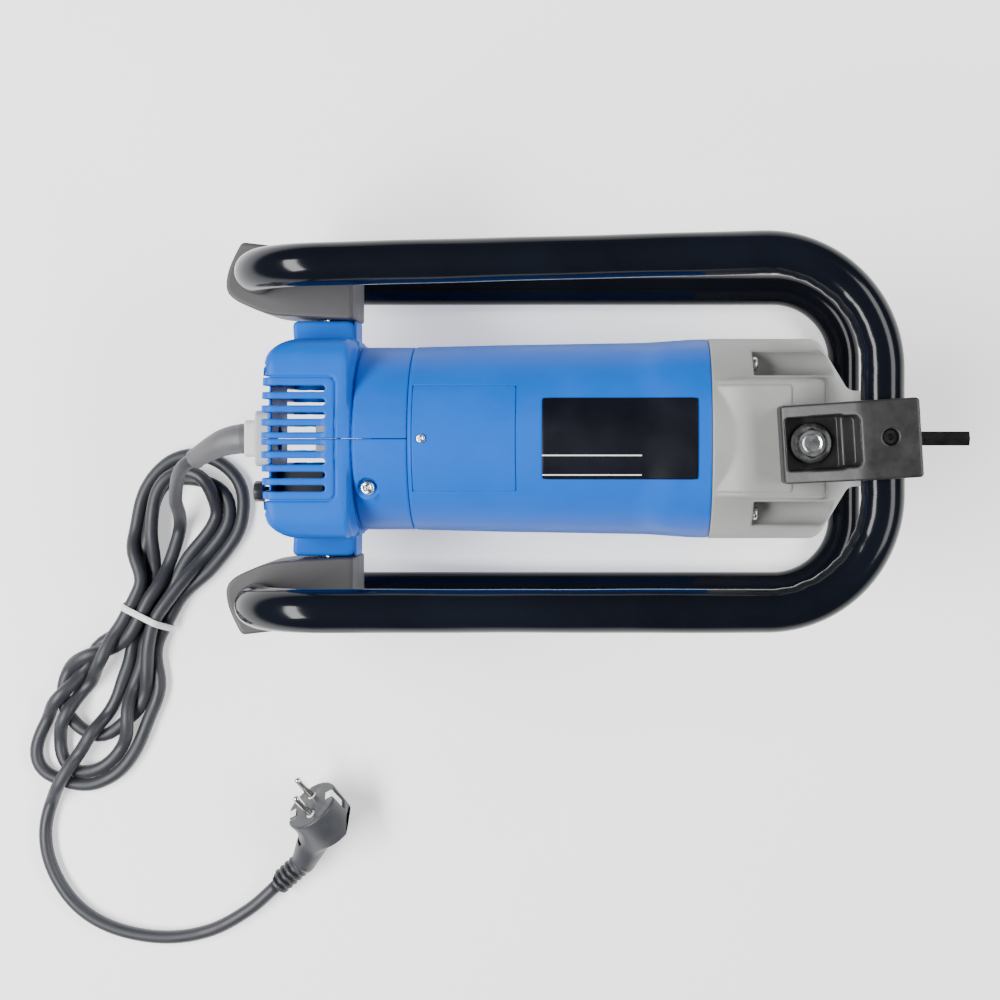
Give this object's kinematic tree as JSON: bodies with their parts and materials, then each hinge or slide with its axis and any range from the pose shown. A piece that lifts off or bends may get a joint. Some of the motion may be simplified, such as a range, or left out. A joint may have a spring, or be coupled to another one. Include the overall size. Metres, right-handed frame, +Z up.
{
  "type": "concrete vibrator drive unit",
  "caption": "Blue motor unit with a cast nose and hex drive spindle, carried in two bent tube hoops, with a tied mains cord and angled plug.",
  "frame": {"origin": "on the floor under the middle of the machine, its cord left out", "axes": "+X towards the drive spindle, +Y to the left side, +Z up"},
  "size_m": [0.6542, 0.4937, 0.206],
  "materials": {
    "blue_plastic": "satin moulded",
    "cast_grey": "fine satin paint",
    "bracket_grey": "fine texture",
    "clamp_black": "powder coat",
    "tube_black": "gloss",
    "grip_black": "gloss sleeve",
    "zinc_steel": "zinc plated",
    "bare_steel": "machined",
    "black_oxide": "black oxide",
    "black_plastic": "satin",
    "label_black": "smooth",
    "copper": "enamelled",
    "brass": "satin",
    "carbon": "dull",
    "white_plastic": "satin",
    "cord_rubber": "smooth rubber",
    "laminate": "laminated sheet"
  },
  "bodies": {
    "machine": {"lower_hoop": "tube_black", "upper_hoop": "tube_black", "upper_hoop_sleeve": "grip_black", "side_bracket_left": "bracket_grey", "side_bracket_right": "bracket_grey", "side_bracket_bolt_left": "zinc_steel", "side_bracket_bolt_right": "zinc_steel", "rear_housing_left": "blue_plastic", "rear_housing_right": "blue_plastic", "neck_screw": "zinc_steel", "motor_housing": "blue_plastic", "brush_cover_top": "blue_plastic", "brush_cover_bottom": "blue_plastic", "brush_cover_screw_top": "zinc_steel", "brush_cover_screw_bottom": "zinc_steel", "label_plate": "label_black", "nose_casting": "cast_grey", "nose_screw_1": "zinc_steel", "nose_screw_2": "zinc_steel", "nose_screw_3": "zinc_steel", "nose_screw_4": "zinc_steel", "front_clamp_top": "clamp_black", "front_clamp_bottom": "clamp_black", "clamp_set_screw_top": "black_oxide", "clamp_washer_top": "zinc_steel", "clamp_washer_bottom": "zinc_steel", "clamp_bolt_top": "zinc_steel", "clamp_bolt_bottom": "zinc_steel", "front_bearing": "bare_steel", "rear_bearing": "bare_steel", "rear_bearing_bracket": "black_plastic", "stator_core": "laminate", "field_coil_upper": "copper", "field_coil_lower": "copper", "brush_holder_top": "brass", "brush_holder_bottom": "brass", "brush_spring_top": "bare_steel", "brush_spring_bottom": "bare_steel", "brush_yoke": "black_plastic", "cable_gland_plate": "white_plastic", "cable_gland": "white_plastic", "cord_sleeve": "cord_rubber", "terminal_block": "white_plastic", "power_switch": "black_plastic", "cord_lead": "cord_rubber", "cord_tail": "cord_rubber", "cord_hank": "cord_rubber", "cord_tie": "white_plastic", "plug_body": "cord_rubber", "plug_pin_1": "zinc_steel", "plug_pin_2": "zinc_steel"},
    "rotor": {"rotor_shaft": "bare_steel", "armature_core": "laminate", "armature_winding": "copper", "commutator": "copper", "cooling_fan": "black_plastic", "drive_spindle": "black_oxide"},
    "brush_top": {"carbon_brush_top": "carbon"},
    "brush_bottom": {"carbon_brush_bottom": "carbon"},
    "button": {"power_button": "black_plastic"}
  },
  "joints": [
    {"name": "rotor_spin", "type": "hinge", "parent": "machine", "child": "rotor", "pos_m": [0, 0, 0.0985], "axis": [1, 0, 0], "continuous": true},
    {"name": "brush_top_slide", "type": "slide", "parent": "machine", "child": "brush_top", "axis": [0, 0, 1], "range_m": [0, 0.004], "stiffness_N_per_m": 400, "springref_m": -0.01, "deforming": ["brush_spring_top"]},
    {"name": "brush_bottom_slide", "type": "slide", "parent": "machine", "child": "brush_bottom", "axis": [0, 0, -1], "range_m": [0, 0.004], "stiffness_N_per_m": 400, "springref_m": -0.01, "deforming": ["brush_spring_bottom"]},
    {"name": "power_button_press", "type": "slide", "parent": "machine", "child": "button", "axis": [1, 0, 0], "range_m": [0, 0.003], "stiffness_N_per_m": 1000, "springref_m": -0.001}
  ]
}
